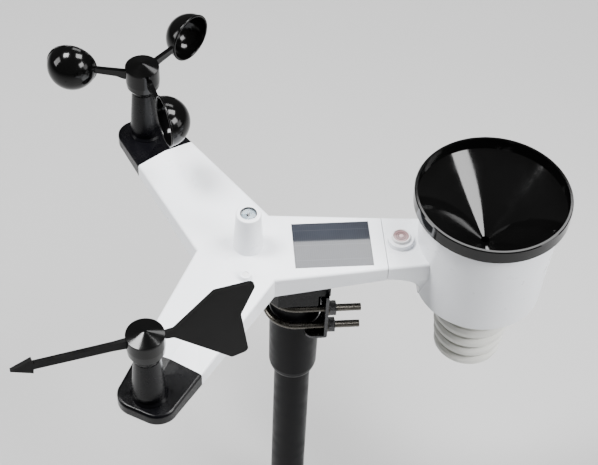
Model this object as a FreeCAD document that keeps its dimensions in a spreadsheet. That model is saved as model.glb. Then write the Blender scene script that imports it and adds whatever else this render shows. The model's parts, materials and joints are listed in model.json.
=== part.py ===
import FreeCAD, Part
import os
import re
import Sketcher

# Home weather station on a mast, in millimetres. +Z is up and +X points from the mast to the rain gauge.
# The origin is the centre of the mast's foot. "Deck" is the flat top of the Y-shaped body.

os.makedirs("parts", exist_ok=True)
doc = FreeCAD.newDocument("WeatherStation")
vector = FreeCAD.Vector
Z_AXIS = vector(0, 0, 1)

DIMENSIONS = {
    # where things stand
    "deck": 350, "hub_x": -38, "pillar_reach": 146.9, "gauge_reach": 180.2,
    # Y-shaped body
    "corner_reach": 37.6, "cap_border": 117.4, "cap_half": 24.7, "bracket_border": 103.3,
    "bracket_half": 25.8, "wall": 2.4, "skin": 3, "depth_hub": 19.1, "depth_slope": 0.0719, "slope_start": 14,
    "edge_round": 2.2, "ridge": 2.9, "ridge_start": 79, "floor_recess": 1, "floor_thick": 2.4,
    # end caps and pillars
    "cap_end": 17.3, "cap_corner": 14.5, "foot_radius": 13.2, "pillar_low": 12.1, "pillar_high": 9.2,
    "speed_pillar": 44.5, "course_pillar": 40.7, "neck_radius": 5.9, "bearing_radius": 4,
    "shaft_radius": 2, "running_gap": 0.04,
    # wind cup rotor
    "rotor_rim": 69.3, "hub_radius": 13.2, "hub_peak": 3.6, "cup_reach": 55.3, "cup_radius": 19.3,
    "cup_wall": 1.3, "cup_height": 61.4, "cup_turn": -73.1, "arm_thick": 3.4,
    # wind vane
    "vane_rim": 65.9, "vane_height": 60.6, "vane_turn": 13.3, "pointer_reach": 88.8,
    "pointer_thick": 3.2, "tail_reach": 76, "tail_rise": 34.5, "tail_drop": 40.7, "tail_thick": 2.2,
    # light sensor post and status lamp
    "post_x": 1.3, "post_y": 2.9, "post_height": 35, "post_low": 11.4, "post_high": 9.4,
    "window_radius": 6.2, "lamp_x": -2.6, "lamp_y": -28.8, "lamp_radius": 4.2, "lamp_height": 4,
    # solar panel
    "solar_start": 34.7, "solar_end": 93.4, "solar_half": 22, "solar_recess": 1.5,
    # rain gauge
    "gauge_radius": 51.1, "gauge_draft": 0.046, "gauge_top": 33.1, "gauge_bottom": -49.2,
    "gauge_wall": 2.2, "gusset_x": 103.5, "gusset_radius": 28, "gusset_foot": 10, "seam": 0.5,
    "rim_radius": 58.1, "rim_top": 50.7, "rim_bottom": 39.6, "cone_radius": 55.7, "cone_top": 40.5,
    "cone_slope": 0.788, "spout_radius": 3.2, "spout_end": -12, "funnel_wall": 1.6,
    "level_x": 115.5, "level_top": 6.6, "level_radius": 7, "boss_radius": 9.6, "boss_height": 4.6,
    # tipping bucket
    "pivot_z": -34, "bucket_half": 11, "axle_radius": 1.5,
    # radiation shield
    "plate_top": -49.8, "plate_pitch": 13, "plate_radius": 33.3, "plate_step": 1.3, "lip": 8.2,
    "plate_thick": 1.6, "chamber_radius": 13.5, "shield_bolt_reach": 18.6, "shield_bolt": 1.5,
    # lower housing, mast and clamp
    "collar_radius": 20.2, "collar_low": 19.3, "collar_end": -145, "tube_radius": 14.7,
    "tube_wall": 1.6, "spigot": 45, "spigot_radius": 12.9, "housing_bottom": -43,
    "housing_half": 25, "clamp_x": 20.3, "clamp_thick": 2.5, "clamp_half": 29.5, "clamp_top": -27.3,
    "clamp_bottom": -76, "rod_radius": 2.75, "rod_reach": 48, "rod_high": -47, "rod_low": -67.5,
    "nut_flats": 10, "nut_thick": 5, "washer_radius": 6, "washer_thick": 1,
    # battery bay under the vane's arm
    "bay_start": 41, "bay_end": 98, "bay_half": 18.2, "bay_bottom": -23.5, "cell_radius": 7.1,
    "cell_length": 49.5, "door_gap": 0.35, "door_thick": 1.6,
    # small inner pieces
    "board_thick": 1.6, "screw_radius": 1.5, "screw_reach": 108, "screw_side": 15,
    "rain_screw_reach": 95, "button_radius": 3, "button_reach": 30,
}

dims = doc.addObject("Spreadsheet::Sheet", "Dims")
for row, (alias, number) in enumerate(DIMENSIONS.items(), start=1):
    dims.set("A%d" % row, alias)
    dims.set("B%d" % row, str(number))
    dims.setAlias("B%d" % row, alias)
doc.recompute()


# ---------------------------------------------------------------- helpers

def bound(expression):
    """Write an expression's dimension names as references to the sheet."""
    return re.sub(r"[a-z_]+", lambda m: "Dims." + m[0] if m[0] in DIMENSIONS else m[0], str(expression))


def size(expression):
    """Today's value of an expression."""
    return float(dims.evalExpression(bound(expression)))


def bind(thing, **properties):
    """Bind an object's properties to expressions in the sheet's dimensions."""
    for name, expression in properties.items():
        thing.setExpression(name, bound(expression))
    return thing


def place(thing, x="0", y="0", z="0", turn="0", axis=Z_AXIS):
    """Bind an object's Placement, with a turn in degrees about an axis through its own origin."""
    thing.Placement = FreeCAD.Placement(vector(size(x), size(y), size(z)), FreeCAD.Rotation(axis, size(turn)))
    for letter, expression in (("x", x), ("y", y), ("z", z)):
        thing.setExpression(".Placement.Base." + letter, bound(expression))
    if turn != "0":
        thing.setExpression(".Placement.Rotation.Angle", bound(turn))
    return thing


def on_deck(thing, x="0", y="0", z="0", turn="0"):
    """Place something measured from the Y-shaped body's centre, at deck height."""
    return place(thing, "hub_x + " + x, y, "deck + " + z, turn)


def on_arm(thing, angle, reach="0", z="0", turn=None):
    """Place something on the arm that points along the angle, at a reach from the centre."""
    x = "(%s)*cos(%d)" % (reach, angle)
    y = "(%s)*sin(%d)" % (reach, angle)
    return on_deck(thing, x, y, z, str(angle) if turn is None else turn)


def on_gauge(thing, z="0", turn="0"):
    return on_deck(thing, "gauge_reach", "0", z, turn)


def new_body(label):
    body = doc.addObject("PartDesign::Body", label)
    body.Label = label
    return body


def new_sketch(body, plane, height="0"):
    sketch = body.newObject("Sketcher::SketchObject", "Sketch")
    base = [feature for feature in body.Origin.OriginFeatures if feature.Role == plane + "_Plane"]
    sketch.AttachmentSupport = [(base[0], "")]
    sketch.MapMode = "FlatFace"
    if height != "0":
        sketch.setExpression(".AttachmentOffset.Base.z", bound(height))
    return sketch


def fix_point(sketch, geometry, point, x, y):
    for kind, expression in (("DistanceX", x), ("DistanceY", y)):
        index = sketch.addConstraint(Sketcher.Constraint(kind, geometry, point, size(expression)))
        sketch.setExpression("Constraints[%d]" % index, bound(expression))


def draw_outline(sketch, corners):
    """A closed outline of straight lines, each corner bound to its two expressions."""
    first = len(sketch.Geometry)
    spots = [vector(size(x), size(y), 0) for x, y in corners]
    count = len(spots)
    for index, spot in enumerate(spots):
        sketch.addGeometry(Part.LineSegment(spot, spots[(index + 1) % count]), False)
    for index in range(count):
        following = first + (index + 1) % count
        sketch.addConstraint(Sketcher.Constraint("Coincident", first + index, 2, following, 1))
    for index, (x, y) in enumerate(corners):
        fix_point(sketch, first + index, 1, x, y)


def draw_circles(sketch, circles):
    for x, y, radius in circles:
        circle = Part.Circle(vector(size(x), size(y), 0), Z_AXIS, size(radius))
        index = sketch.addGeometry(circle, False)
        fix_point(sketch, index, 3, x, y)
        limit = sketch.addConstraint(Sketcher.Constraint("Radius", index, size(radius)))
        sketch.setExpression("Constraints[%d]" % limit, bound(radius))


def extrude(body, kind, length, plane="XY", outline=None, circles=None, height="0", both=False,
            flip=False):
    """A Pad (upwards) or a Pocket (downwards), flipped, or half each way with both."""
    sketch = new_sketch(body, plane, height)
    if outline:
        draw_outline(sketch, outline)
    if circles:
        draw_circles(sketch, circles)
    feature = body.newObject("PartDesign::" + kind, kind)
    feature.Profile = sketch
    if length == "all":
        feature.Type = "ThroughAll"
    else:
        bind(feature, Length=length)
    if both:
        feature.SideType = "Symmetric"
    feature.Reversed = flip
    body.Tip = feature
    return feature


def revolve(body, kind, profile):
    """A Revolution or a Groove about the body's Z axis of a profile of (radius, height) pairs."""
    sketch = new_sketch(body, "XZ")
    draw_outline(sketch, profile)
    feature = body.newObject("PartDesign::" + kind, kind)
    feature.Profile = sketch
    feature.ReferenceAxis = (sketch, ["V_Axis"])
    feature.Angle = 360
    body.Tip = feature
    return feature


def pattern(body, features, count):
    """Repeat features round the body's Z axis."""
    sketch = new_sketch(body, "XY")
    polar = body.newObject("PartDesign::PolarPattern", "Polar")
    polar.Originals = features
    polar.Axis = (sketch, ["N_Axis"])
    polar.Angle = 360
    body.Tip = polar
    polar.Occurrences = count
    return polar


def soften(body, radius, chosen, kind="Fillet"):
    """Fillet or chamfer the tip's edges that pass the test."""
    doc.recompute()
    base = body.Tip
    names = ["Edge%d" % n for n, edge in enumerate(base.Shape.Edges, start=1) if chosen(edge)]
    feature = body.newObject("PartDesign::" + kind, kind)
    feature.Base = (base, names)
    bind(feature, **{"Radius" if kind == "Fillet" else "Size": radius})
    body.Tip = feature
    return feature


def at_height(height):
    """Test for edges that lie level at a height."""
    def test(edge):
        box = edge.BoundBox
        return abs(box.ZMin - size(height)) < 0.01 and abs(box.ZMax - size(height)) < 0.01
    return test


def upright_beyond(x):
    """Test for upright edges past a distance along X."""
    def test(edge):
        box = edge.BoundBox
        return box.ZLength > 1 and box.XLength < 0.01 and box.YLength < 0.01 and box.XMin > size(x)
    return test


def turned(label, profile):
    body = new_body(label)
    revolve(body, "Revolution", profile)
    return body


def slab(label, length, width, thickness, x="0", y="0", z="0"):
    """A rectangular plate from a corner-centred outline: x is its near edge, y its middle."""
    body = new_body(label)
    outline = [(x, y + " - (%s)/2" % width), (x + " + " + length, y + " - (%s)/2" % width),
               (x + " + " + length, y + " + (%s)/2" % width), (x, y + " + (%s)/2" % width)]
    extrude(body, "Pad", thickness, outline=outline, height=z)
    return body


def cylinder(radius, height, x="0", y="0", z="0", turn="0", axis=Z_AXIS):
    solid = bind(doc.addObject("Part::Cylinder", "Cylinder"), Radius=radius, Height=height)
    return place(solid, x, y, z, turn, axis)


def block(length, width, height, x="0", y="0", z="0"):
    solid = bind(doc.addObject("Part::Box", "Box"), Length=length, Width=width, Height=height)
    return place(solid, x, y, z)


def fuse(*solids):
    union = doc.addObject("Part::MultiFuse", "Fuse")
    union.Shapes = list(solids)
    return union


def cut(base, tool):
    difference = doc.addObject("Part::Cut", "Cut")
    difference.Base = base
    difference.Tool = tool
    return difference


def group(label, solids):
    """One sub-part of several separate, like pieces."""
    compound = doc.addObject("Part::Compound", label)
    compound.Links = solids
    compound.Label = label
    return compound


def ring_spots(reach, count):
    """Places evenly round a circle, as pairs of expressions."""
    angles = [360 * index // count for index in range(count)]
    return [("(%s)*cos(%d)" % (reach, angle), "(%s)*sin(%d)" % (reach, angle)) for angle in angles]


# ---------------------------------------------------------------- Y-shaped body

ARMS = (("bracket_border", "bracket_half", 0), ("cap_border", "cap_half", 120), ("cap_border", "cap_half", 240))
SIDE_STRETCH = "1.108"  # how far a corner moves in when both its sides move in by one


def y_outline(inset):
    """The Y's outline, moved in by an inset."""
    corners = []
    for border, half, angle in ARMS:
        end = "(%s - (%s))" % (border, inset)
        side = "(%s - (%s))" % (half, inset)
        reach = "(corner_reach - %s*(%s))" % (SIDE_STRETCH, inset)
        for sign in (-1, 1):
            x = "%s*cos(%d) - %d*%s*sin(%d)" % (end, angle, sign, side, angle)
            y = "%s*sin(%d) + %d*%s*cos(%d)" % (end, angle, sign, side, angle)
            corners.append((x, y))
        corners.append(("%s*cos(%d)" % (reach, angle + 60), "%s*sin(%d)" % (reach, angle + 60)))
    return corners


def underside(lift, x):
    """Height of the sloping underside at a distance from the centre, raised by a lift."""
    return "%s - depth_hub + depth_slope*(%s - corner_reach/2)" % (lift, x)


def below(lift, near="slope_start", far="185"):
    """Outline of everything under the sloping underside of one arm."""
    return [(near, underside(lift, near)), (near, "-60"), (far, "-60"), (far, underside(lift, far))]


def arm_spots():
    """Screw places, as expressions, measured from the Y's centre."""
    spots = []
    for reach, angle in (("rain_screw_reach", 0), ("screw_reach", 120), ("screw_reach", 240)):
        for sign in (-1, 1):
            x = "%s*cos(%d) - %d*screw_side*sin(%d)" % (reach, angle, sign, angle)
            y = "%s*sin(%d) + %d*screw_side*cos(%d)" % (reach, angle, sign, angle)
            spots.append((x, y))
    return spots


def make_top_cover():
    body = new_body("Cover")
    extrude(body, "Pad", "depth_hub + 0.1", outline=y_outline("0"), flip=True)
    soften(body, "edge_round", lambda edge: at_height("0")(edge) and edge.CenterOfMass.Length < 90)
    slope = extrude(body, "Pocket", "90", "XZ", outline=below("0"), both=True)
    pattern(body, [slope], 3)
    extrude(body, "Pocket", "depth_hub - skin + 1", outline=y_outline("wall"), height="-depth_hub - 1",
            flip=True)
    extrude(body, "Pad", "5.9", circles=[(x, y, "3.2") for x, y in arm_spots()],
            height="-skin - 5.9")
    extrude(body, "Pocket", "5", circles=[(x, y, "screw_radius") for x, y in arm_spots()],
            height="-skin - 5.9", flip=True)
    recess = [("solar_start", "-solar_half"), ("solar_end", "-solar_half"), ("solar_end", "solar_half"),
              ("solar_start", "solar_half")]
    extrude(body, "Pocket", "solar_recess", outline=recess)
    extrude(body, "Pocket", "skin + 1", circles=[("post_x", "post_y", "5"), ("lamp_x", "lamp_y", "2")])
    roofs = []
    for angle in (120, 240):
        roof = new_body("Roof")
        add_ridge(roof, "cap_border", "ridge", "ridge_start")
        roofs.append(place(roof, turn=str(angle)))
    cover = fuse(body, *roofs)
    cover.Label = "top_cover"
    return on_deck(cover)


def spun(corners, angle):
    """An outline turned about the Z axis."""
    return [("(%s)*cos(%d) - (%s)*sin(%d)" % (x, angle, y, angle),
             "(%s)*sin(%d) + (%s)*cos(%d)" % (x, angle, y, angle)) for x, y in corners]


def rectangle(x_low, x_high, y_low, y_high):
    return [(x_low, y_low), (x_high, y_low), (x_high, y_high), (x_low, y_high)]


def add_bay(body):
    """The battery bay under the vane's arm, with a groove along each side for the door."""
    outer = rectangle("bay_start", "bay_end", "-bay_half", "bay_half")
    extrude(body, "Pad", "-bay_bottom - 5.5", outline=spun(outer, 240), height="bay_bottom")
    inner = rectangle("bay_start + 2", "bay_end - 2", "2.6 - bay_half", "bay_half - 2.6")
    extrude(body, "Pocket", "-bay_bottom - 7.3", outline=spun(inner, 240), height="bay_bottom", flip=True)
    for low, high in (("bay_half - 1.2", "bay_half + 1"), ("-bay_half - 1", "1.2 - bay_half")):
        groove = rectangle("bay_start - 1", "bay_end + 1", low, high)
        extrude(body, "Pocket", "2", outline=spun(groove, 240), height="bay_bottom + 1.2", flip=True)


def add_ridge(body, high, rise, low):
    """A low roof on an arm's top, from its full rise at one reach down to nothing at another."""
    near = new_sketch(body, "YZ", high)
    draw_outline(near, [("edge_round - cap_half", "0"), ("cap_half - edge_round", "0"), ("0", rise)])
    far = new_sketch(body, "YZ", low)
    draw_outline(far, [("-0.5", "0"), ("0.5", "0"), ("0", "0.05")])
    loft = body.newObject("PartDesign::AdditiveLoft", "Roof")
    loft.Profile = near
    loft.Sections = [far]
    loft.Ruled = True
    body.Tip = loft


def make_chassis():
    body = new_body("chassis")
    extrude(body, "Pad", "depth_hub + 1", outline=y_outline("wall + 0.1"), flip=True)
    lower = extrude(body, "Pocket", "90", "XZ", outline=below("floor_recess"), both=True)
    pattern(body, [lower], 3)
    top = "floor_recess + floor_thick"
    above = [("-1", underside(top, "corner_reach/2")), ("corner_reach/2", underside(top, "corner_reach/2")),
             ("130", underside(top, "130")), ("130", "1"), ("-1", "1")]
    upper = extrude(body, "Pocket", "90", "XZ", outline=above, both=True)
    pattern(body, [upper], 3)
    extrude(body, "Pocket", "all", circles=[(x, y, "screw_radius + 0.2") for x, y in arm_spots()],
            height="-30", flip=True)
    button = ("button_reach*cos(120)", "button_reach*sin(120)", "button_radius + 0.35")
    extrude(body, "Pocket", "all", circles=[button], height="-30", flip=True)
    add_bay(body)
    on_deck(body)
    return body


def make_status_lamp():
    boss = turned("status_lamp_boss", [("2.6", "0"), ("lamp_radius", "0"), ("lamp_radius - 0.3", "lamp_height"),
                                       ("2.6", "lamp_height")])
    on_deck(boss, "lamp_x", "lamp_y")
    lens = turned("status_lamp_lens", [("0", "1"), ("2.55", "1"), ("2.55", "lamp_height - 0.4"),
                                       ("0", "lamp_height + 0.1")])
    on_deck(lens, "lamp_x", "lamp_y")
    return [boss, lens]


def make_light_sensor():
    seat = "post_height - 1.6"
    post = turned("light_sensor_post", [
        ("window_radius - 0.8", "0"), ("post_low", "0"), ("post_high", "post_height"),
        ("window_radius + 0.1", "post_height"), ("window_radius + 0.1", seat), ("window_radius - 0.8", seat)])
    soften(post, "1", lambda edge: at_height("post_height")(edge) and edge.Length > 50)
    window = turned("light_window", [("0", seat), ("window_radius", seat), ("window_radius", "post_height - 0.2"),
                                     ("0", "post_height + 0.3")])
    board = turned("light_sensor_board", [("0", "post_height - 5"), ("window_radius - 1", "post_height - 5"),
                                          ("window_radius - 1", "post_height - 3.6"), ("2", "post_height - 3.6"),
                                          ("2", "post_height - 2.6"), ("0", "post_height - 2.6")])
    return [on_deck(piece, "post_x", "post_y") for piece in (post, window, board)]


def make_solar_panel():
    length = "solar_end - solar_start - 0.3"
    cells = slab("solar_cells", length, "2*solar_half - 0.3", "0.7", "solar_start + 0.15", "0", "-solar_recess")
    cover = slab("solar_cover", length, "2*solar_half - 0.3", "0.6", "solar_start + 0.15", "0",
                 "0.7 - solar_recess")
    return [on_deck(cells), on_deck(cover)]


# ---------------------------------------------------------------- end caps and pillars

def make_pillar_base(label, angle, pillar):
    """Black end cap with its pillar, measured from the pillar's axis."""
    body = new_body(label)
    border = "cap_border + 0.1 - pillar_reach"
    outline = [(border, "-cap_half"), ("cap_end - 15.3", "-cap_half + 2.7"), ("cap_end", "-cap_half + 3.2"),
               ("cap_end", "cap_half - 3.2"), ("cap_end - 15.3", "cap_half - 2.7"), (border, "cap_half")]
    extrude(body, "Pad", "14", outline=outline, flip=True)
    soften(body, "cap_corner", upright_beyond("cap_end - 1"))
    soften(body, "edge_round", lambda edge: at_height("0")(edge) and edge.BoundBox.XMax > size(border) + 1)
    tilt = [(x, underside("0", "(%s + pillar_reach)" % x)) for x in ("-40", "40")]
    extrude(body, "Pocket", "90", "XZ", outline=[tilt[0], ("-40", "-40"), ("40", "-40"), tilt[1]], both=True)
    inner = rectangle(border + " + 2", "cap_end - 8", "8 - cap_half", "cap_half - 8")
    extrude(body, "Pocket", "11", outline=inner, height="-14", flip=True)
    add_ridge(body, border, "ridge", "-foot_radius - 4")
    neck_top = pillar + " + 11.5"
    revolve(body, "Revolution", [
        ("0", "-1"), ("foot_radius", "-1"), ("foot_radius", "0.6"), ("foot_radius - 1.2", "2.4"),
        ("pillar_low", "7"), ("pillar_high", pillar), ("neck_radius", pillar), ("neck_radius", neck_top),
        ("0", neck_top)])
    revolve(body, "Groove", [
        ("0", "-4"), ("6", "-4"), ("6", pillar + " - 12"), ("bearing_radius", pillar + " - 9"),
        ("bearing_radius", neck_top + " + 1"), ("0", neck_top + " + 1")])
    on_arm(body, angle, "pillar_reach")
    return body


def make_spindle(name, angle, pillar, shaft_top):
    """Shaft, two bearings, magnet and sensor board inside a pillar."""
    shaft = turned(name + "_shaft", [("0", "9"), ("shaft_radius", "9"), ("shaft_radius", shaft_top), ("0", shaft_top)])
    bearings = []
    for low in (pillar + " - 6", pillar + " + 8.3"):
        ring = cylinder("bearing_radius", "3", z=low)
        bore = cylinder("shaft_radius + running_gap", "5", z=low + " - 1")
        bearings.append(cut(ring, bore))
    pair = group(name + "_bearings", bearings)
    magnet = turned(name + "_magnet", [("shaft_radius", "9"), ("4.6", "9"), ("4.6", "13"), ("shaft_radius", "13")])
    board = turned(name + "_sensor_board", [("0", "1"), ("5.7", "1"), ("5.7", "1 + board_thick"),
                                            ("1.5", "1 + board_thick"), ("1.5", "4"), ("0", "4")])
    return [on_arm(piece, angle, "pillar_reach") for piece in (shaft, pair, magnet, board)]


# ---------------------------------------------------------------- wind cups

def make_rotor_hub():
    body = turned("rotor_hub", [
        ("0", "rotor_rim + hub_peak"), ("hub_radius - 0.2", "rotor_rim"), ("hub_radius", "rotor_rim - 1"),
        ("hub_radius", "56"), ("hub_radius - 0.5", "51"), ("pillar_high + 0.1", "speed_pillar + 0.8"),
        ("neck_radius + 1.1", "speed_pillar + 0.8"), ("neck_radius + 1.1", "speed_pillar + 13.4"),
        ("shaft_radius", "speed_pillar + 13.4"), ("shaft_radius", "66"), ("0", "66")])
    on_arm(body, 120, "pillar_reach")
    return body


def make_wind_cup(number):
    """A half ball shell that opens against the turn, with its arm cut to the hub's round side."""
    ball = bind(doc.addObject("Part::Sphere", "Ball"), Radius="cup_radius")
    ball.Angle1 = 0
    place(ball, turn="-90", axis=vector(1, 0, 0))
    bead = bind(doc.addObject("Part::Torus", "Bead"), Radius1="cup_radius - 0.3", Radius2="0.9")
    place(bead, turn="90", axis=vector(1, 0, 0))
    beam = new_body("Arm")
    outline = [("2 - cup_reach", "-4.6"), ("14 - cup_reach", "-4.6"), ("20 - cup_reach", "-2.7"),
               ("1 - cup_radius", "-2.3"), ("1 - cup_radius", "2.3"), ("14 - cup_reach", "3.2"),
               ("2 - cup_reach", "3.2")]
    extrude(beam, "Pad", "arm_thick", "XZ", outline=outline, flip=True)
    hollow = bind(doc.addObject("Part::Sphere", "Hollow"), Radius="cup_radius - cup_wall")
    hub = cylinder("hub_radius", "30", x="-cup_reach", z="-15")
    cup = cut(fuse(ball, bead, beam), fuse(hollow, hub))
    cup.Label = "wind_cup_%d" % number
    heading = "(cup_turn + %d)" % (120 * number)
    x = "pillar_reach*cos(120) + cup_reach*cos(%s)" % heading
    y = "pillar_reach*sin(120) + cup_reach*sin(%s)" % heading
    return on_deck(cup, x, y, "cup_height", heading)


# ---------------------------------------------------------------- wind vane

VANE_HUB_SIDE = [("0", "vane_rim + hub_peak"), ("hub_radius - 0.2", "vane_rim"), ("hub_radius", "vane_rim - 1"),
                 ("hub_radius", "55.5"), ("hub_radius - 0.5", "49"), ("pillar_high + 0.1", "course_pillar + 0.8")]


def fin_corners(x_low, x_high):
    """Test for the tail's corner edges, above and below its middle, between two reaches."""
    def test(edge):
        box = edge.BoundBox
        across = box.XLength < 0.01 and box.ZLength < 0.01
        return across and abs(box.ZMin - size("vane_height")) > 30 and size(x_low) < box.XMin < size(x_high)
    return test


def make_vane():
    hub = turned("vane_hub", VANE_HUB_SIDE + [
        ("neck_radius + 1.1", "course_pillar + 0.8"), ("neck_radius + 1.1", "course_pillar + 13.4"),
        ("shaft_radius", "course_pillar + 13.4"), ("shaft_radius", "60"), ("0", "60")])
    pointer = new_body("vane_pointer")
    barb = "14.4 - pointer_reach"
    sides = [("-8", 4.4), ("-22", 3.2), (barb + " + 0.6", 2.9), (barb, 7)]
    outline = [(x, "vane_height - %g" % half) for x, half in sides]
    outline += [("-pointer_reach", "vane_height")]
    outline += [(x, "vane_height + %g" % half) for x, half in reversed(sides)]
    extrude(pointer, "Pad", "pointer_thick", "XZ", outline=outline, both=True)
    tail = new_body("vane_tail")
    lower = [("8", "3"), ("19", "4.4"), ("tail_reach - 17.6", "tail_drop"), ("tail_reach - 5.7", "tail_drop - 3.2")]
    upper = [("tail_reach", "tail_rise"), ("tail_reach - 29.4", "tail_rise - 0.8"), ("19", "4.4"), ("8", "3")]
    outline = [(x, "vane_height - (%s)" % depth) for x, depth in lower]
    outline += [("tail_reach - 11.2", "vane_height + 4")]
    outline += [(x, "vane_height + %s" % rise) for x, rise in upper]
    extrude(tail, "Pad", "tail_thick", "XZ", outline=outline, both=True)
    soften(tail, "4.4", fin_corners("tail_reach - 8", "tail_reach + 1"))
    soften(tail, "2", fin_corners("tail_reach - 40", "tail_reach - 8"))
    for blade in (pointer, tail):
        revolve(blade, "Groove", VANE_HUB_SIDE + [("0", "course_pillar + 0.8")])
    for piece in (hub, pointer, tail):
        on_arm(piece, 240, "pillar_reach", turn="vane_turn")
    return [hub, pointer, tail]


# ---------------------------------------------------------------- rain gauge

def gauge_side(height):
    return "gauge_radius + gauge_draft*(%s)" % height


def drain_spots():
    return [("(gauge_radius - 9)*cos(%d)" % angle, "(gauge_radius - 9)*sin(%d)" % angle)
            for angle in (-50, 50, 130, 230)]


def make_rain_gauge_body():
    """Cylinder and bracket in one moulding, measured from the cylinder's axis."""
    body = new_body("rain_gauge_body")
    near = "bracket_border + seam - gauge_reach"
    outline = [(near, "-bracket_half"), ("-30", "3 - bracket_half"), ("-30", "bracket_half - 3"),
               (near, "bracket_half")]
    extrude(body, "Pad", "-gauge_bottom", outline=outline, flip=True)
    soften(body, "edge_round", lambda edge: at_height("0")(edge) and abs(edge.BoundBox.YLength) < 10)
    arm_under = underside("0", "bracket_border")
    gusset = [("gusset_x - gauge_reach", arm_under + " - gusset_radius", "gusset_radius")]
    extrude(body, "Pocket", "90", "XZ", circles=gusset, both=True)
    under_arm = rectangle("-90", "gusset_x - gauge_reach", "-60", arm_under)
    extrude(body, "Pocket", "90", "XZ", outline=under_arm, both=True)
    centre = arm_under + " - gusset_radius"
    under_gusset = rectangle("-90", "gusset_x + gusset_radius - gauge_reach", "-60", centre)
    extrude(body, "Pocket", "90", "XZ", outline=under_gusset, both=True)
    for sign in (-1, 1):
        taper = [("%d*bracket_half" % sign, arm_under), ("%d*(bracket_half + 1)" % sign, "gauge_bottom - 1"),
                 ("%d*gusset_foot" % sign, "gauge_bottom - 1")]
        extrude(body, "Pocket", "60", "YZ", outline=taper, height=near, flip=True)
    boss = [("level_x - gauge_reach", "0", "boss_radius")]
    extrude(body, "Pad", "boss_height", circles=boss)
    revolve(body, "Revolution", [("0", "gauge_bottom"), (gauge_side("gauge_bottom"), "gauge_bottom"),
                                 (gauge_side("gauge_top"), "gauge_top"), ("0", "gauge_top")])
    floor = "gauge_bottom + gauge_wall"
    revolve(body, "Groove", [("0", floor), (gauge_side(floor) + " - gauge_wall", floor),
                             (gauge_side("gauge_top") + " - gauge_wall", "gauge_top + 1"),
                             ("0", "gauge_top + 1")])
    seat = [("level_x - gauge_reach", "0", "level_radius - 0.6")]
    extrude(body, "Pocket", "4", circles=seat, height="boss_height")
    holes = [(x, y, "3.5") for x, y in drain_spots()]
    holes += [(x, y, "shield_bolt + 0.1") for x, y in ring_spots("shield_bolt_reach", 3)]
    extrude(body, "Pocket", "all", circles=holes, height="0")
    channel = rectangle("3 - bracket_half", "bracket_half - 3", "-11", "-3")
    extrude(body, "Pocket", "28", "YZ", outline=channel, height=near, flip=True)
    return on_gauge(body)


def cone_height(radius):
    return "cone_top - cone_slope*(cone_radius - (%s))" % radius


def make_funnel():
    under = "funnel_wall"
    ring_out = gauge_side("gauge_top") + " - gauge_wall - 0.5"
    ring_in = ring_out + " - 1.4"
    tube_out = "spout_radius + 1.3"
    profile = [("rim_radius - 2.2", "rim_top"), ("cone_radius", "cone_top"),
               ("spout_radius", cone_height("spout_radius")), ("spout_radius", "spout_end"),
               (tube_out, "spout_end"), (tube_out, cone_height(tube_out) + " - " + under),
               (ring_in, cone_height(ring_in) + " - " + under), (ring_in, "gauge_top - 8"),
               (ring_out, "gauge_top - 8"), (ring_out, cone_height(ring_out) + " - " + under),
               ("rim_radius - 1.5", cone_height("rim_radius - 1.5") + " - " + under),
               ("rim_radius", "rim_bottom"), ("rim_radius", "rim_top - 0.8"),
               ("rim_radius - 0.6", "rim_top")]
    return on_gauge(turned("funnel", profile))


def make_tipping_bucket():
    """See-saw bucket with two open-ended pans, measured from its pivot."""
    bucket = new_body("tipping_bucket")
    side = [("-31", "5"), ("-4", "-1"), ("4", "-1"), ("31", "5"), ("31", "9"), ("1.5", "17"), ("-1.5", "17"),
            ("-31", "9")]
    extrude(bucket, "Pad", "2*bucket_half", "XZ", outline=side, both=True)
    extrude(bucket, "Pad", "2*bucket_half", "XZ", circles=[("0", "0", "3.4")], both=True)
    for sign in (-1, 1):
        pan = [("%d*0.8" % sign, "3.9"), ("%d*0.8" % sign, "20"), ("%d*34" % sign, "20"), ("%d*34" % sign, "7.4")]
        extrude(bucket, "Pocket", "2*bucket_half - 2.4", "XZ", outline=pan, both=True)
    extrude(bucket, "Pocket", "60", "XZ", circles=[("0", "0", "axle_radius")], both=True)
    on_gauge(bucket, "pivot_z")
    half_axle = "bucket_half + 5.5"
    axle = cylinder("axle_radius", "2*(%s)" % half_axle, y="-(%s)" % half_axle, turn="-90", axis=vector(1, 0, 0))
    axle = group("bucket_axle", [axle])
    on_gauge(axle, "pivot_z")
    magnet = group("bucket_magnet", [block("5", "2", "5", "-2.5", "bucket_half", "8")])
    on_gauge(magnet, "pivot_z")
    return [bucket, axle, magnet]


def make_bucket_cradle():
    """Two uprights that hold the axle, on one foot with the bucket's stops."""
    floor = "gauge_bottom + gauge_wall"
    foot = block("12", "2*bucket_half + 12", "2", "-6", "-bucket_half - 6", floor)
    solids = [foot]
    for low in ("-bucket_half - 5", "bucket_half + 2"):
        solids.append(block("10", "3", "pivot_z + 5 - (%s)" % floor, "-5", low, floor))
    for low in ("-31", "25"):
        solids.append(block("6", "8", "3.5", low, "-4", floor))
        solids.append(block("32", "4", "1.6", "-31" if low == "-31" else "-1", "-2", floor))
    bore = cylinder("axle_radius + running_gap", "60", y="-30", z="pivot_z", turn="-90", axis=vector(1, 0, 0))
    cradle = cut(fuse(*solids), bore)
    cradle.Label = "bucket_cradle"
    return on_gauge(cradle)


def make_rain_board():
    board = slab("rain_sensor_board", "20", "board_thick", "24", "-10", "bucket_half + 8",
                 "gauge_bottom + gauge_wall")
    return on_gauge(board)


def make_level():
    vial = turned("level_vial", [("0", "boss_height - 4"), ("level_radius - 0.7", "boss_height - 4"),
                                 ("level_radius - 0.7", "boss_height"), ("level_radius", "boss_height"),
                                 ("level_radius", "level_top - 0.5"), ("level_radius - 0.6", "level_top"),
                                 ("0", "level_top")])
    return on_deck(vial, "level_x")


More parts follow.
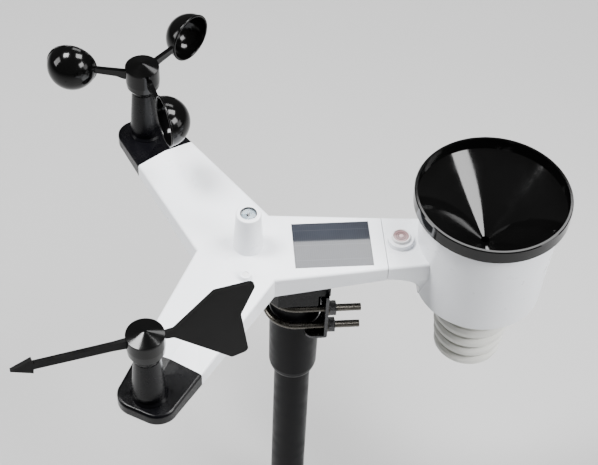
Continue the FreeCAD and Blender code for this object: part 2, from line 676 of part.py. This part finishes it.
# ---------------------------------------------------------------- radiation shield

def make_shield():
    plates = []
    for number in range(5):
        top = "(plate_top - %d*plate_pitch)" % number
        edge = "(plate_radius - %d*plate_step)" % number
        plate = turned("shield_plate_%d" % (number + 1), [
            ("chamber_radius", top), (edge + " - 5", top), (edge + " - 1.5", top + " - 1.6"),
            (edge, top + " - 4.5"), (edge, top + " - lip"), (edge + " - 1.2", top + " - lip"),
            (edge + " - 1.2", top + " - 4.8"), (edge + " - 2.6", top + " - 2.6"),
            (edge + " - 5.2", top + " - plate_thick"), ("chamber_radius", top + " - plate_thick")])
        spots = ring_spots("shield_bolt_reach", 3)
        extrude(plate, "Pad", "plate_pitch - plate_thick", circles=[(x, y, "3") for x, y in spots],
                height=top + " - plate_pitch")
        extrude(plate, "Pocket", "all", circles=[(x, y, "shield_bolt + 0.1") for x, y in spots],
                height=top + " + 1")
        plates.append(plate)
    top = "(plate_top - 5*plate_pitch)"
    edge = "(plate_radius - 5*plate_step)"
    tray = turned("shield_base", [
        ("0", top), (edge + " - 5", top), (edge + " - 1.5", top + " - 1.6"), (edge, top + " - 4.5"),
        (edge, top + " - lip"), (edge + " - 1.6", top + " - lip"), (edge + " - 1.6", top + " - 4.8"),
        (edge + " - 5.2", top + " - 2"), ("0", top + " - 2")])
    spots = ring_spots("shield_bolt_reach", 3)
    extrude(tray, "Pocket", "all", circles=[(x, y, "shield_bolt + 0.1") for x, y in spots], height=top + " + 1")
    plates.append(tray)
    bolts = []
    low = top + " - 2"
    for x, y in spots:
        shank = cylinder("shield_bolt", "gauge_bottom + gauge_wall - (%s)" % low, x, y, low)
        bolts.append(fuse(shank, cylinder("2.8", "1.8", x, y, low + " - 1.8")))
    bolts = group("shield_bolts", bolts)
    board = slab("climate_board", "16", "board_thick", "52", "-8", "0", "gauge_bottom - 0.7 - 52")
    cap = turned("climate_sensor_cap", [("0", "gauge_bottom - 64"), ("4.4", "gauge_bottom - 64"), ("4.9", "-106"),
                                        ("4.9", "gauge_bottom - 52.8"), ("0", "gauge_bottom - 52.8")])
    return [on_gauge(piece) for piece in plates + [bolts, board, cap]]


# ---------------------------------------------------------------- lower housing, mast and clamp

def make_lower_housing():
    body = new_body("lower_housing")
    near = "-hub_x - 22.5"
    far = "-hub_x + 24"
    outline = [(near, "0"), (near, "housing_bottom"), ("15 - hub_x", "housing_bottom"), ("15 - hub_x", "-30.5"),
               (far, "-30.5"), (far, "0")]
    extrude(body, "Pad", "2*housing_half", "XZ", outline=outline, both=True)
    floor = "floor_recess - 0.1"
    above = [("0", "5"), ("0", underside(floor, "slope_start")), ("slope_start", underside(floor, "slope_start")),
             ("90", underside(floor, "90")), ("90", "5")]
    extrude(body, "Pocket", "90", "XZ", outline=above, both=True)
    soften(body, "7", lambda edge: edge.BoundBox.ZLength > 15 and edge.BoundBox.XLength < 0.01
           and edge.BoundBox.XMax < size(near) + 1, kind="Chamfer")
    soften(body, "1.5", at_height("housing_bottom"))
    extrude(body, "Pocket", "24", circles=[("-hub_x", "0", "collar_radius + 0.05")], height="housing_bottom",
            flip=True)
    slot = rectangle("clamp_x - hub_x - 0.3", "clamp_x - hub_x + clamp_thick + 0.3", "-31", "clamp_top + 0.2")
    extrude(body, "Pocket", "90", "XZ", outline=slot, both=True)
    return on_deck(body)


def make_mast():
    collar_top = "housing_bottom + 23.5"
    collar = turned("mast_collar", [
        ("tube_radius + 0.1", collar_top + " - 30"), ("tube_radius + 0.1", "collar_end"),
        ("tube_radius + 0.7", "collar_end"), ("tube_radius + 3", "collar_end + 1.6"),
        ("collar_low - 0.6", "collar_end + 4.5"), ("collar_low", "collar_end + 8"),
        ("collar_radius", "housing_bottom"), ("collar_radius", collar_top), ("8", collar_top),
        ("8", collar_top + " - 30")])
    place(collar, z="deck")
    tube = turned("mast_tube", [
        ("spigot_radius - tube_wall", "0"), ("spigot_radius", "0"), ("spigot_radius", "spigot"),
        ("tube_radius", "spigot + 2.5"), ("tube_radius", "deck + housing_bottom - 7"),
        ("tube_radius - tube_wall", "deck + housing_bottom - 7"), ("tube_radius - tube_wall", "spigot + 3"),
        ("spigot_radius - tube_wall", "spigot + 1")])
    return [collar, place(tube)]


def make_clamp():
    plate = new_body("clamp_plate")
    outer = "clamp_x + clamp_thick"
    outline = [("clamp_x", "clamp_top"), (outer, "clamp_top"), (outer, "clamp_bottom"), ("6", "clamp_bottom"),
               ("6", "clamp_bottom + clamp_thick"), ("clamp_x", "clamp_bottom + clamp_thick")]
    extrude(plate, "Pad", "2*clamp_half", "XZ", outline=outline, both=True)
    soften(plate, "2.4", lambda edge: at_height("clamp_bottom")(edge) and edge.BoundBox.XMin > size(outer) - 1)
    soften(plate, "6", lambda edge: edge.BoundBox.ZLength > 2 and edge.BoundBox.XMax < 7)
    extrude(plate, "Pocket", "all", circles=[("0", "0", "collar_radius + 0.3")], height="clamp_bottom - 1",
            flip=True)
    leg = "(collar_radius + rod_radius + 0.1)"
    holes = [(y, z, "rod_radius + 0.25") for y in (leg, "-" + leg) for z in ("rod_high", "rod_low")]
    extrude(plate, "Pocket", "all", "YZ", circles=holes, height="60")
    place(plate, z="deck")
    pieces = [plate]
    nuts = []
    washers = []
    for name, height in (("u_bolt_upper", "rod_high"), ("u_bolt_lower", "rod_low")):
        bend = bind(doc.addObject("Part::Torus", "Bend"), Radius1=leg, Radius2="rod_radius")
        bend.Angle3 = 180
        place(bend, turn="90")
        solids = [bend]
        for side in (leg, "-" + leg):
            solids.append(cylinder("rod_radius", "rod_reach", y=side, turn="90", axis=vector(0, 1, 0)))
            washer = cylinder("washer_radius", "washer_thick", outer, side, height, "90", vector(0, 1, 0))
            bore = cylinder("rod_radius + 0.1", "40", "10", side, height, "90", vector(0, 1, 0))
            washers.append(cut(washer, bore))
            prism = doc.addObject("Part::Prism", "Hexagon")
            prism.Polygon = 6
            bind(prism, Circumradius="nut_flats/2/cos(30)", Height="nut_thick")
            place(prism, outer + " + washer_thick", side, height, "90", vector(0, 1, 0))
            bore = cylinder("rod_radius + 0.02", "40", "10", side, height, "90", vector(0, 1, 0))
            nuts.append(cut(prism, bore))
        bolt = fuse(*solids)
        bolt.Label = name
        pieces.append(place(bolt, z="deck + " + height))
    pieces.append(place(group("clamp_nuts", nuts), z="deck"))
    pieces.append(place(group("clamp_washers", washers), z="deck"))
    return pieces


# ---------------------------------------------------------------- power and electronics

def make_power():
    """Two cells, their contacts and the sliding door, under the vane's arm."""
    roof = "-7.4"
    cells = []
    contacts = []
    for sign in (-1, 1):
        low = "bay_start + 3.5" if sign < 0 else "bay_end - 3.5 - cell_length"
        y = "%d*(cell_radius + 0.1)" % sign
        z = roof + " - cell_radius"
        side = vector(0, 1, 0)
        tip = low + " - 1" if sign < 0 else low + " + cell_length"
        cells.append(fuse(cylinder("cell_radius", "cell_length", low, y, z, "90", side),
                          cylinder("2.7", "1", tip, y, z, "90", side)))
        for x in ("bay_start + 2", "bay_end - 2.4"):
            contacts.append(block("0.4", "9", "9", x, y + " - 4.5", z + " - 4.5"))
    door = new_body("battery_door")
    deep = "bay_bottom - door_gap - door_thick"
    grip = "bay_half - 1.2 + door_gap"
    outer = "bay_half + door_gap + 1.4"
    clear = "bay_half + door_gap"
    inside = "bay_bottom - door_gap"
    hook_low = "bay_bottom + 1.2 + door_gap"
    hook_high = "bay_bottom + 3.2 - door_gap"
    right = [(outer, deep), (outer, hook_high), (grip, hook_high), (grip, hook_low), (clear, hook_low),
             (clear, inside)]
    left = [("-(%s)" % y, z) for y, z in reversed(right)]
    extrude(door, "Pad", "bay_end - bay_start", "YZ", outline=right + left, height="bay_start")
    pieces = [group("batteries", cells), group("battery_contacts", contacts), door]
    return [on_arm(piece, 240) for piece in pieces]


def make_electronics():
    board = slab("main_circuit_board", "64", "44", "board_thick", "-10", "0", "-12.9")
    on_deck(board)
    antenna = cylinder("0.8", "78", "24", "0", "-8", "90", vector(0, 1, 0))
    antenna = group("radio_antenna", [antenna])
    on_arm(antenna, 120)
    floor = underside("floor_recess", "button_reach")
    button = turned("reset_button", [("0", floor + " - 0.9"), ("button_radius", floor + " - 0.9"),
                                     ("button_radius", floor + " + 3.1"), ("button_radius + 1.3", floor + " + 3.1"),
                                     ("button_radius + 1.3", floor + " + 4.2"), ("0", floor + " + 4.2")])
    on_arm(button, 120, "button_reach")
    return [board, antenna, button]


def make_screws():
    """Six floor screws, the first two of them on the rain gauge's arm."""
    screws = []
    for number, (x, y) in enumerate(arm_spots()):
        reach = "rain_screw_reach" if number < 2 else "screw_reach"
        floor = underside("floor_recess", reach)
        shank = cylinder("screw_radius", "7", x, y, floor + " - 0.3")
        head = cylinder("2.8", "1.8", x, y, floor + " - 2.1")
        screws.append(fuse(shank, head))
    return on_deck(group("body_screws", screws))


# ---------------------------------------------------------------- build and export

def make_station():
    pieces = [make_top_cover(), make_chassis()]
    pieces += make_status_lamp() + make_light_sensor() + make_solar_panel()
    pieces.append(make_pillar_base("anemometer_base", 120, "speed_pillar"))
    pieces.append(make_pillar_base("vane_base", 240, "course_pillar"))
    pieces += make_spindle("rotor", 120, "speed_pillar", "66")
    pieces += make_spindle("vane", 240, "course_pillar", "60")
    pieces.append(make_rotor_hub())
    pieces += [make_wind_cup(number) for number in (1, 2, 3)]
    pieces += make_vane()
    pieces += [make_rain_gauge_body(), make_funnel(), make_bucket_cradle(), make_rain_board(), make_level()]
    pieces += make_tipping_bucket()
    pieces += make_shield()
    pieces.append(make_lower_housing())
    pieces += make_mast() + make_clamp() + make_power() + make_electronics()
    pieces.append(make_screws())
    return pieces


station = make_station()
doc.recompute()
for thing in doc.Objects:
    if "Invalid" in thing.State or "Error" in thing.State:
        raise RuntimeError("%s (%s) failed: %s" % (thing.Label, thing.Name, thing.State))
for piece in station:
    if piece.Shape.isNull() or not piece.Shape.isValid() or not piece.Shape.Solids:
        raise RuntimeError("%s has no valid solid" % piece.Label)
    piece.Shape.exportStep("parts/%s.step" % piece.Label)
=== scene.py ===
import bpy
import json
import math
from mathutils import Matrix, Vector


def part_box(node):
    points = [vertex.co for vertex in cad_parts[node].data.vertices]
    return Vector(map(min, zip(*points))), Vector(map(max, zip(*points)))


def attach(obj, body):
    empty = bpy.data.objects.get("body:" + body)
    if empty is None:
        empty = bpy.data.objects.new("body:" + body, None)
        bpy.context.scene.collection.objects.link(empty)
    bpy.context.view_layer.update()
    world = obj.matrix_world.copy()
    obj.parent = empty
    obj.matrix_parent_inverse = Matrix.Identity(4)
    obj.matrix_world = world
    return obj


# Looks for a home weather station on a mast. Metres, in the CAD frame: +Z up, +X towards the rain gauge.

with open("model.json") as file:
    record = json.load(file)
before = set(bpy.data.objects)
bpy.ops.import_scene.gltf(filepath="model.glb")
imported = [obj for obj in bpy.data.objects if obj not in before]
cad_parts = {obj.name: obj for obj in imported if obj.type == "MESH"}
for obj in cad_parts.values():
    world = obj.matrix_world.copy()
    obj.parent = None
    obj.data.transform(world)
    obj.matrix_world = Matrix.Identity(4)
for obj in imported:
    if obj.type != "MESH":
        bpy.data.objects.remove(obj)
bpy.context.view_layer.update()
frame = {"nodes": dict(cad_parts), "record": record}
NODES = frame["nodes"]


# ---------------------------------------------------------------- where the CAD put things

def centre(node):
    low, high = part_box(node)
    return (low + high) / 2


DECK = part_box("light_sensor_post")[0].z  # the cover's flat top, where the post stands
VANE = centre("vane_hub")
LEVEL = centre("level_vial")

NODE_CREASE = math.radians(32)  # edges sharper than this stay crisp on CAD nodes
PIECE_CREASE = math.radians(40)  # and this on detail pieces
NOISE_LOW, NOISE_HIGH = 0.3, 0.7  # nearly all values of a noise texture lie between these


# ---------------------------------------------------------------- shader helpers

class Shader:
    """One node material, with short calls for the nodes that the finishes below share."""

    def __init__(self, name):
        self.material = bpy.data.materials.new(name)
        self.material.use_nodes = True
        self.tree = self.material.node_tree
        self.tree.nodes.clear()
        self.output = self.add("ShaderNodeOutputMaterial")
        self.surface = self.add("ShaderNodeBsdfPrincipled")
        self.link(self.surface.outputs["BSDF"], self.output.inputs["Surface"])
        self.place = self.add("ShaderNodeNewGeometry").outputs["Position"]

    def add(self, kind, **settings):
        node = self.tree.nodes.new(kind)
        for name, value in settings.items():
            setattr(node, name, value)
        return node

    def link(self, source, target):
        self.tree.links.new(source, target)

    def set(self, **values):
        for name, value in values.items():
            self.surface.inputs[name.replace("_", " ")].default_value = value

    def noise(self, scale, detail=3.0, roughness=0.5):
        node = self.add("ShaderNodeTexNoise")
        node.inputs["Scale"].default_value = scale
        node.inputs["Detail"].default_value = detail
        node.inputs["Roughness"].default_value = roughness
        self.link(self.place, node.inputs["Vector"])
        return node.outputs["Fac"]

    def spread(self, value, low, high):
        """Map a noise value onto a range."""
        node = self.add("ShaderNodeMapRange")
        self.link(value, node.inputs["Value"])
        node.inputs["From Min"].default_value = NOISE_LOW
        node.inputs["From Max"].default_value = NOISE_HIGH
        node.inputs["To Min"].default_value = low
        node.inputs["To Max"].default_value = high
        return node.outputs["Result"]

    def shade(self, value, dark, light):
        """Mix two colours by a value."""
        node = self.add("ShaderNodeMix", data_type="RGBA")
        self.link(value, node.inputs[0])
        node.inputs[6].default_value = (*dark, 1)
        node.inputs[7].default_value = (*light, 1)
        return node.outputs[2]

    def colour(self, source):
        self.link(source, self.surface.inputs["Base Color"])

    def rough(self, source):
        self.link(source, self.surface.inputs["Roughness"])

    def bump(self, source, strength, distance):
        node = self.add("ShaderNodeBump")
        node.inputs["Strength"].default_value = strength
        node.inputs["Distance"].default_value = distance
        self.link(source, node.inputs["Height"])
        self.link(node.outputs["Normal"], self.surface.inputs["Normal"])


def moulded(name, dark, light, low, high, grain=2400, strength=0.12, coat=0.0, specular=0.5):
    """Moulded plastic: slow colour drift, fine grain, and slight wear in the gloss."""
    shader = Shader(name)
    drift = shader.noise(14, 4)
    shader.colour(shader.shade(shader.spread(drift, 0, 1), dark, light))
    wear = shader.noise(90, 5, 0.6)
    shader.rough(shader.spread(wear, low, high))
    shader.bump(shader.noise(grain, 2), strength, 0.0001)
    shader.set(IOR=1.49, Specular_IOR_Level=specular)
    if coat:
        shader.set(Coat_Weight=coat, Coat_Roughness=0.05)
    return shader.material


def metal(name, tint, low, high):
    """Bare or plated metal: mottled colour, and a fine grain in its gloss and surface."""
    shader = Shader(name)
    shader.set(Metallic=1.0)
    grain = shader.noise(500, 3, 0.6)
    mottle = shader.spread(shader.noise(160, 5), 0, 1)
    shader.colour(shader.shade(mottle, [c * 0.72 for c in tint], tint))
    shader.rough(shader.spread(grain, low, high))
    shader.bump(grain, 0.15, 0.0001)
    return shader.material


def sheet_plastic(name, tint, roughness):
    """Clear moulded plastic with faint haze."""
    shader = Shader(name)
    haze = shader.noise(260, 4)
    shader.rough(shader.spread(haze, roughness, roughness + 0.04))
    shader.colour(shader.shade(shader.spread(haze, 0, 1), [c * 0.97 for c in tint], tint))
    shader.bump(shader.noise(60, 2), 0.03, 0.0002)
    shader.set(Transmission_Weight=1.0, IOR=1.49)
    return shader.material


def powder_coat(name):
    """Black paint baked on steel tube, with its pebbled skin."""
    shader = Shader(name)
    pebble = shader.noise(900, 3, 0.55)
    drift = shader.spread(shader.noise(30, 4), 0, 1)
    shader.colour(shader.shade(drift, (0.0015, 0.0015, 0.002), (0.003, 0.003, 0.004)))
    shader.rough(shader.spread(shader.noise(120, 5), 0.28, 0.42))
    shader.bump(pebble, 0.22, 0.0002)
    shader.set(IOR=1.5, Specular_IOR_Level=0.07)
    return shader.material


def stripes(shader, axis, spacing, share):
    """1 on lines across an axis that are a share of the spacing wide, 0 between them."""
    split = shader.add("ShaderNodeSeparateXYZ")
    shader.link(shader.place, split.inputs["Vector"])
    ratio = shader.add("ShaderNodeMath", operation="DIVIDE")
    shader.link(split.outputs[axis], ratio.inputs[0])
    ratio.inputs[1].default_value = spacing
    part = shader.add("ShaderNodeMath", operation="FRACT")
    shader.link(ratio.outputs[0], part.inputs[0])
    line = shader.add("ShaderNodeMath", operation="LESS_THAN")
    shader.link(part.outputs[0], line.inputs[0])
    line.inputs[1].default_value = share
    return line.outputs[0]


def blend(shader, value, under, over):
    """Lay one colour source over another where the value is 1."""
    node = shader.add("ShaderNodeMix", data_type="RGBA")
    shader.link(value, node.inputs[0])
    shader.link(under, node.inputs[6])
    node.inputs[7].default_value = (*over, 1)
    return node.outputs[2]


def solar_silicon(name):
    """Dark slate cells with faint fingers and wider lines between the strips, under a gloss sheet."""
    shader = Shader(name)
    drift = shader.spread(shader.noise(70, 5), 0, 1)
    cloud = shader.shade(drift, (0.011, 0.013, 0.019), (0.015, 0.018, 0.026))
    finger_gap = 0.0016
    strip_gap = 0.0147
    fingers = blend(shader, stripes(shader, "X", finger_gap, 0.22), cloud, (0.018, 0.021, 0.029))
    strips = blend(shader, stripes(shader, "Y", strip_gap, 0.035), fingers, (0.028, 0.032, 0.04))
    shader.colour(strips)
    shader.rough(shader.spread(shader.noise(200, 3), 0.3, 0.4))
    shader.bump(shader.noise(60, 2), 0.02, 0.0001)
    shader.set(IOR=1.5, Specular_IOR_Level=0.15, Coat_Weight=1.0, Coat_Roughness=0.02)
    return shader.material


WHITE_DARK = (0.745, 0.765, 0.80)
WHITE_LIGHT = (0.80, 0.815, 0.845)

WHITE = moulded("white_plastic", WHITE_DARK, WHITE_LIGHT, 0.26, 0.38, coat=0.15)
LOUVRE = moulded("louvre_plastic", (0.66, 0.66, 0.62), (0.72, 0.72, 0.68), 0.4, 0.52)
BLACK = moulded("black_plastic", (0.001, 0.001, 0.001), (0.002, 0.002, 0.003), 0.2, 0.32, specular=0.17)
GLOSS = moulded("gloss_plastic", (0.001, 0.001, 0.001), (0.002, 0.002, 0.002), 0.08, 0.16, strength=0.05,
                specular=0.22)
SATIN = moulded("satin_plastic", (0.001, 0.001, 0.001), (0.002, 0.002, 0.002), 0.28, 0.4, specular=0.1)
FUNNEL = moulded("funnel_plastic", (0.001, 0.001, 0.001), (0.002, 0.002, 0.002), 0.05, 0.10, strength=0.03,
                 specular=0.3)
MATTE = moulded("matte_black", (0.008, 0.008, 0.008), (0.014, 0.014, 0.014), 0.42, 0.58)
BUCKET = moulded("bucket_plastic", (0.60, 0.60, 0.58), (0.68, 0.68, 0.66), 0.38, 0.5)
COATING = powder_coat("powder_coat")
STEEL = metal("zinc_steel", (0.115, 0.108, 0.095), 0.2, 0.38)
PLATE = metal("plate_steel", (0.075, 0.075, 0.078), 0.18, 0.32)
STAINLESS = metal("stainless_steel", (0.55, 0.55, 0.54), 0.2, 0.34)
BOARD = moulded("circuit_board", (0.008, 0.07, 0.025), (0.015, 0.11, 0.04), 0.3, 0.4)
CLEAR = sheet_plastic("clear_plastic", (0.97, 0.98, 0.98), 0.02)
LENS = moulded("lamp_lens", (0.66, 0.67, 0.68), (0.76, 0.77, 0.78), 0.12, 0.2, coat=0.5)
VIAL = moulded("vial_plastic", (0.62, 0.61, 0.61), (0.70, 0.69, 0.69), 0.08, 0.14, coat=0.5)
SOLAR = solar_silicon("solar_cells")
CELL = moulded("cell_wrap", (0.02, 0.05, 0.16), (0.03, 0.07, 0.22), 0.2, 0.32)
CONTACT = metal("contact_metal", (0.62, 0.56, 0.42), 0.25, 0.4)

FINISH = {
    "white_plastic": WHITE, "black_plastic": BLACK, "rotor_plastic": GLOSS, "vane_plastic": GLOSS,
    "funnel_plastic": FUNNEL, "mast_coating": COATING, "zinc_steel": STEEL, "fastener_steel": STAINLESS,
    "magnet": MATTE, "solar_cells": SOLAR, "solar_cover": SOLAR, "window_glass": CLEAR, "lamp_lens": LENS,
    "level_vial": VIAL, "circuit_board": BOARD, "filter_cap": BUCKET, "cell_wrap": CELL,
    "contact_metal": CONTACT, "bucket_plastic": BUCKET, "button_rubber": MATTE,
}
SPECIAL = {
    "clamp_plate": PLATE, "clamp_nuts": PLATE, "mast_collar": COATING, "shield_base": LOUVRE,
    "vane_tail": SATIN, "vane_pointer": SATIN,
}
SPECIAL.update({"shield_plate_%d" % number: LOUVRE for number in range(1, 6)})


def finish_nodes():
    """Give every CAD node its special finish or its slot's, and smooth shading with crisp edges."""
    slots = {entry["node"]: entry["material_slot"] for entry in frame["record"]["subparts"]}
    for name, thing in NODES.items():
        thing.data.materials.clear()
        thing.data.materials.append(SPECIAL.get(name, FINISH[slots[name]]))
        thing.data.shade_smooth()
        thing.data.set_sharp_from_angle(angle=NODE_CREASE)


finish_nodes()


# ---------------------------------------------------------------- detail pieces

def piece(name, corners, faces, body, material, smooth=True):
    """A mesh piece that rides on a body and takes the finish it is given."""
    mesh = bpy.data.meshes.new(name)
    mesh.from_pydata([tuple(corner) for corner in corners], [], faces)
    mesh.validate()
    mesh.materials.append(material)
    if smooth:
        mesh.shade_smooth()
        mesh.set_sharp_from_angle(angle=PIECE_CREASE)
    thing = bpy.data.objects.new(name, mesh)
    bpy.context.collection.objects.link(thing)
    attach(thing, body)
    return thing


def lathe(name, profile, place, body, material, turn=None, steps=48):
    """Turn a closed (radius, height) outline about an axis through a place; the axis is +Z unless turned."""
    corners = []
    for step in range(steps):
        angle = math.tau * step / steps
        for radius, height in profile:
            spot = Vector((radius * math.cos(angle), radius * math.sin(angle), height))
            corners.append(Vector(place) + (turn @ spot if turn else spot))
    count = len(profile)
    faces = []
    for step in range(steps):
        near, far = step * count, (step + 1) % steps * count
        for i in range(count):
            j = (i + 1) % count
            faces.append((near + i, far + i, far + j, near + j))
    return piece(name, corners, faces, body, material)


def ring_outline(radius, height, width, thick):
    """A flat ring's section, with its outer top edge eased."""
    ease = thick * 0.4
    return [(radius - width, height), (radius, height), (radius, height + thick - ease),
            (radius - ease, height + thick), (radius - width + ease, height + thick),
            (radius - width, height + thick - ease)]


def dome(radius, inner, base, foot, rise, angles):
    """A low dome's section: a point near the axis at the base, then an arc from its rim up to its top."""
    return [(inner, base)] + [(radius * math.sin(a), foot + rise * math.cos(a)) for a in angles]


def make_threads():
    """The rolled thread on the four bolt ends past the clamp's nuts."""
    turn = Matrix.Rotation(math.radians(90), 3, "Y")
    pitch = 0.0008
    crest = 0.6 * 0.00034  # how far a ridge stands out from the rod
    skin = 0.00003  # keeps the grooves just clear of the rod
    gap = 0.0001  # between the nuts and the first ridge
    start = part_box("clamp_nuts")[1].x
    for node in ("u_bolt_upper", "u_bolt_lower"):
        low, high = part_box(node)
        radius = (high.z - low.z) / 2
        core = radius * 0.6
        height = (high.z + low.z) / 2
        for side, y in (("front", low.y + radius), ("back", high.y - radius)):
            name = "thread_%s_%s" % (node[7:], side)
            count = int((high.x - start - pitch) / pitch)
            profile = [(core, 0.0)]
            for ridge in range(count):
                profile += [(radius + skin, ridge * pitch), (radius + crest, (ridge + 0.5) * pitch)]
            profile += [(radius + skin, count * pitch), (core, count * pitch)]
            lathe(name, profile, (start + gap, y, height), "station", STEEL, turn, 28)


def ink(name, dark, light):
    return moulded(name, dark, light, 0.3, 0.45)


def make_level():
    """The tinted fluid, its bubble and the two target rings, just under the vial's flat top."""
    low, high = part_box("level_vial")
    radius = (high.x - low.x) / 2
    place = Vector((LEVEL.x, LEVEL.y, high.z + 0.00005))
    fluid = moulded("level_fluid", (0.25, 0.155, 0.158), (0.32, 0.205, 0.208), 0.05, 0.1, grain=300,
                    strength=0.05)
    rim = moulded("level_rim", (0.66, 0.64, 0.64), (0.76, 0.74, 0.74), 0.1, 0.18)
    mark = ink("level_mark", (0.11, 0.055, 0.055), (0.15, 0.08, 0.08))
    air = moulded("level_bubble", (0.50, 0.36, 0.36), (0.58, 0.43, 0.43), 0.04, 0.08, strength=0.02)
    pool = dome(radius * 0.84, inner=0.0001, base=0.0, foot=0.00004, rise=0.00012,
                angles=(1.5, 1.2, 0.9, 0.6, 0.3, 0.02))
    lathe("level_fluid", pool, place, "station", fluid)
    bezel = ring_outline(radius * 0.99, 0, radius * 0.15, 0.0006)
    lathe("level_rim", bezel, place, "station", rim)
    for number, share in enumerate((0.56, 0.36), start=1):
        outline = ring_outline(radius * share, 0.00006, 0.0006, 0.00032)
        lathe("level_ring_%d" % number, outline, place, "station", mark)
    bubble = dome(radius * 0.24, inner=0.00005, base=0.0001, foot=0.0001, rise=0.0003,
                  angles=(1.5, 1.1, 0.7, 0.35, 0.03))
    off_centre = Vector((0.0003, 0.0004, 0))
    lathe("level_bubble", bubble, place + off_centre, "station", air)


def make_window():
    """The diffuser and light sensor seen through the post's window, with the window's dark seal."""
    low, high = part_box("light_window")
    sunk = 0.0012
    place = Vector((*(low + high).xy / 2, low.z - sunk))
    radius = (high.x - low.x) / 2
    diffuser = moulded("diffuser", (0.42, 0.53, 0.62), (0.54, 0.65, 0.73), 0.25, 0.4)
    seal = ink("window_seal", (0.02, 0.022, 0.025), (0.03, 0.032, 0.035))
    disc = [(0.0001, 0), (radius * 0.84, 0), (radius * 0.84, 0.0002), (radius * 0.8, 0.0004),
            (0.0001, 0.0003)]
    lathe("light_diffuser", disc, place, "station", diffuser)
    lathe("window_seal", ring_outline(radius * 0.98, 0.0001, radius * 0.1, 0.0009), place, "station",
          seal)
    chip = [(0.0001, 0.0003), (radius * 0.22, 0.0003), (radius * 0.22, 0.0006), (radius * 0.16, 0.0008),
            (0.0001, 0.0007)]
    lathe("light_sensor_chip", chip, place, "station", seal, steps=24)


def make_letters():
    """Raised compass letters round the vane's pillar."""
    top = DECK + 0.00002
    reach = 0.0153  # from the vane's axis to a letter's middle
    for letter, heading in (("N", 90), ("E", 0), ("S", -90), ("W", 180)):
        angle = math.radians(heading)
        text = bpy.data.curves.new("letter", "FONT")
        text.body = letter
        text.size = 0.0044
        text.extrude = 0.00012
        text.align_x = "CENTER"
        text.align_y = "CENTER"
        text_object = bpy.data.objects.new("letter", text)
        shape = bpy.data.meshes.new_from_object(text_object)
        bpy.data.objects.remove(text_object)
        where = Vector((VANE.x + reach * math.cos(angle), VANE.y + reach * math.sin(angle), top))
        corners = [where + vertex.co for vertex in shape.vertices]
        faces = [tuple(face.vertices) for face in shape.polygons]
        piece("compass_%s" % letter, corners, faces, "station", GLOSS, smooth=False)


make_threads()
make_level()
make_window()
make_letters()


# ---------------------------------------------------------------- floor, light and camera

def make_floor():
    mesh = bpy.data.meshes.new("floor")
    reach = 6.0
    corners = [(-reach, -reach, 0), (reach, -reach, 0), (reach, reach, 0), (-reach, reach, 0)]
    mesh.from_pydata(corners, [], [(0, 1, 2, 3)])
    floor = bpy.data.objects.new("floor", mesh)
    bpy.context.collection.objects.link(floor)
    shader = Shader("floor_paper")
    shader.set(Roughness=0.9)
    shader.colour(shader.shade(shader.noise(3), (0.40, 0.40, 0.40), (0.42, 0.42, 0.42)))
    mesh.materials.append(shader.material)


def softbox(name, place, aim, width, height, watts):
    """A rectangular area light at a place, turned to face its aim."""
    light = bpy.data.lights.new(name, "AREA")
    light.shape = "RECTANGLE"
    light.size = width
    light.size_y = height
    light.energy = watts
    lamp = bpy.data.objects.new(name, light)
    bpy.context.collection.objects.link(lamp)
    lamp.location = place
    lamp.rotation_euler = (Vector(aim) - Vector(place)).to_track_quat("-Z", "Y").to_euler()


def make_light():
    """A dim white surround and six softboxes, kept out of the mirror directions of the deck and the hubs."""
    surround = 0.12
    world = bpy.data.worlds.new("studio")
    world.use_nodes = True
    background = world.node_tree.nodes["Background"]
    background.inputs["Color"].default_value = (1, 1, 1, 1)
    background.inputs["Strength"].default_value = surround
    bpy.context.scene.world = world
    heart = Vector((0.03, 0, 0.35))  # the middle of the body, which the lights aim at
    softbox("key", (0.46, -0.30, 0.80), heart, 0.30, 0.26, 7)
    softbox("left", (-1.0, 0.05, 0.80), heart, 0.34, 0.50, 7)
    softbox("back", (0.36, 0.92, 1.6), (0.36, 0.92, 0), 0.8, 0.336, 9)
    softbox("top_left", (-0.72, 0.16, 1.95), heart, 0.5, 0.6, 64)
    softbox("top_right", (0.85, 0.10, 1.95), heart, 0.6, 0.8, 50)
    softbox("right", (1.2, -0.45, 0.60), heart, 0.5, 0.5, 4)


def make_camera():
    """The camera looks down at the deck and along +Y, from a little to the left."""
    distance = 1.09072
    lens = 87.14  # millimetres
    sensor = 36  # millimetres wide
    yaw = math.radians(-6.521)
    pitch = math.radians(48.524)
    roll = math.radians(2.706)
    aim = Vector((0.0021, 0.0132, DECK))
    away = Vector((math.sin(yaw) * math.cos(pitch), -math.cos(yaw) * math.cos(pitch), math.sin(pitch)))
    right = Vector((math.cos(yaw), math.sin(yaw), 0))
    up = away.cross(right)
    camera_x = right * math.cos(roll) + up * math.sin(roll)
    camera_y = up * math.cos(roll) - right * math.sin(roll)
    data = bpy.data.cameras.new("camera")
    data.sensor_width = sensor
    data.lens = lens
    camera = bpy.data.objects.new("camera", data)
    bpy.context.collection.objects.link(camera)
    spin = Matrix((camera_x, camera_y, away)).transposed().to_4x4()
    camera.matrix_world = Matrix.Translation(aim + away * distance) @ spin
    bpy.context.scene.camera = camera


make_floor()
make_light()
make_camera()
